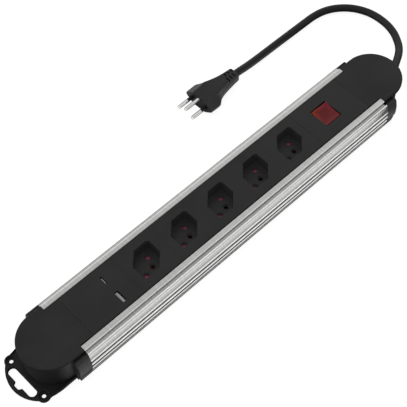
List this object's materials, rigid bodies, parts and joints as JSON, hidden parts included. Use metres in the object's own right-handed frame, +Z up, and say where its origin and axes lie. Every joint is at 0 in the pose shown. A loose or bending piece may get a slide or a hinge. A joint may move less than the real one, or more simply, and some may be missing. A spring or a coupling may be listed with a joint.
{
  "type": "desk power strip",
  "caption": "Aluminium channel power strip with hexagonal recessed three-pin sockets, USB charger, lit rocker switch, end caps, hanging bracket, cord and plug.",
  "frame": {"origin": "centre of the aluminium channel's underside", "axes": "+X along the strip towards the cord end, +Z up out of the sockets, +Y towards the side the cord returns on"},
  "size_m": [0.5469, 0.1668, 0.0377],
  "materials": {
    "profile_aluminium": "brushed, silver anodised",
    "black_plastic": "fine satin texture",
    "shutter_red": "smooth red plastic",
    "rocker_red": "translucent red, polished",
    "steel": "zinc plated",
    "brass": "stamped",
    "nickel": "bright nickel plate",
    "cord_rubber": "matte soft PVC",
    "plug_plastic": "soft satin PVC",
    "liner_grey": "moulded grey insulation",
    "board_green": "coated glass fibre laminate",
    "coil_yellow": "transformer tape",
    "capacitor_blue": "sleeved",
    "usb_white": "connector insulator",
    "lamp_glass": "clear glass, neon",
    "wire_brown": "wire insulation",
    "wire_blue": "wire insulation",
    "wire_green_yellow": "wire insulation"
  },
  "bodies": {
    "housing": {"aluminium_profile": "profile_aluminium", "near_end_cap": "black_plastic", "far_end_cap": "black_plastic", "far_end_base": "black_plastic", "mounting_bracket": "black_plastic", "usb_charger_panel": "black_plastic", "switch_panel": "black_plastic", "switch_housing": "black_plastic", "cord_clamp": "black_plastic", "plug_live_sleeve": "black_plastic", "plug_neutral_sleeve": "black_plastic", "usb_c_tongue": "black_plastic", "near_cap_screw_left": "steel", "near_cap_screw_right": "steel", "far_cap_screw_left": "steel", "far_cap_screw_right": "steel", "bracket_screw_left": "steel", "bracket_screw_right": "steel", "clamp_screw_left": "steel", "clamp_screw_right": "steel", "socket_module_1": "black_plastic", "shutter_spring_1": "steel", "socket_module_2": "black_plastic", "shutter_spring_2": "steel", "socket_module_3": "black_plastic", "shutter_spring_3": "steel", "socket_module_4": "black_plastic", "shutter_spring_4": "steel", "socket_module_5": "black_plastic", "shutter_spring_5": "steel", "usb_circuit_board": "board_green", "usb_transformer": "coil_yellow", "usb_capacitor": "capacitor_blue", "usb_a_receptacle": "nickel", "usb_a_tongue": "usb_white", "usb_c_receptacle": "nickel", "switch_lamp": "lamp_glass", "switch_line_terminal": "brass", "switch_load_terminal": "brass", "live_busbar": "brass", "neutral_busbar": "brass", "earth_busbar": "brass", "insulating_liner": "liner_grey", "cord_grommet": "cord_rubber", "mains_cord": "cord_rubber", "live_wire": "wire_brown", "neutral_wire": "wire_blue", "earth_wire": "wire_green_yellow", "plug_body": "plug_plastic", "plug_live_pin": "nickel", "plug_neutral_pin": "nickel", "plug_earth_pin": "nickel"},
    "rocker": {"switch_rocker": "rocker_red"},
    "contact_lever": {"switch_contact_lever": "brass"},
    "shutter_1": {"socket_shutter_1": "shutter_red"},
    "shutter_2": {"socket_shutter_2": "shutter_red"},
    "shutter_3": {"socket_shutter_3": "shutter_red"},
    "shutter_4": {"socket_shutter_4": "shutter_red"},
    "shutter_5": {"socket_shutter_5": "shutter_red"}
  },
  "joints": [
    {"name": "rocker_tilt", "type": "hinge", "parent": "housing", "child": "rocker", "pos_m": [0.1387, 0.0004, 0.0305], "axis": [1, 0, 0], "range_deg": [-16, 0]},
    {"name": "contact_lever_tilt", "type": "hinge", "parent": "housing", "child": "contact_lever", "pos_m": [0.1387, 0.0004, 0.0115], "axis": [1, 0, 0], "range_deg": [0, 18]},
    {"name": "shutter_1_slide", "type": "slide", "parent": "housing", "child": "shutter_1", "axis": [-0.7071, 0.7071, 0], "range_m": [0, 0.0055], "stiffness_N_per_m": 120, "springref_m": -0.002, "deforming": ["shutter_spring_1"]},
    {"name": "shutter_2_slide", "type": "slide", "parent": "housing", "child": "shutter_2", "axis": [-0.7071, 0.7071, 0], "range_m": [0, 0.0055], "stiffness_N_per_m": 120, "springref_m": -0.002, "deforming": ["shutter_spring_2"]},
    {"name": "shutter_3_slide", "type": "slide", "parent": "housing", "child": "shutter_3", "axis": [-0.7071, 0.7071, 0], "range_m": [0, 0.0055], "stiffness_N_per_m": 120, "springref_m": -0.002, "deforming": ["shutter_spring_3"]},
    {"name": "shutter_4_slide", "type": "slide", "parent": "housing", "child": "shutter_4", "axis": [-0.7071, 0.7071, 0], "range_m": [0, 0.0055], "stiffness_N_per_m": 120, "springref_m": -0.002, "deforming": ["shutter_spring_4"]},
    {"name": "shutter_5_slide", "type": "slide", "parent": "housing", "child": "shutter_5", "axis": [-0.7071, 0.7071, 0], "range_m": [0, 0.0055], "stiffness_N_per_m": 120, "springref_m": -0.002, "deforming": ["shutter_spring_5"]}
  ],
  "couplings": [
    {"joint": "contact_lever_tilt", "follows": "rocker_tilt", "ratio": -1.125}
  ]
}
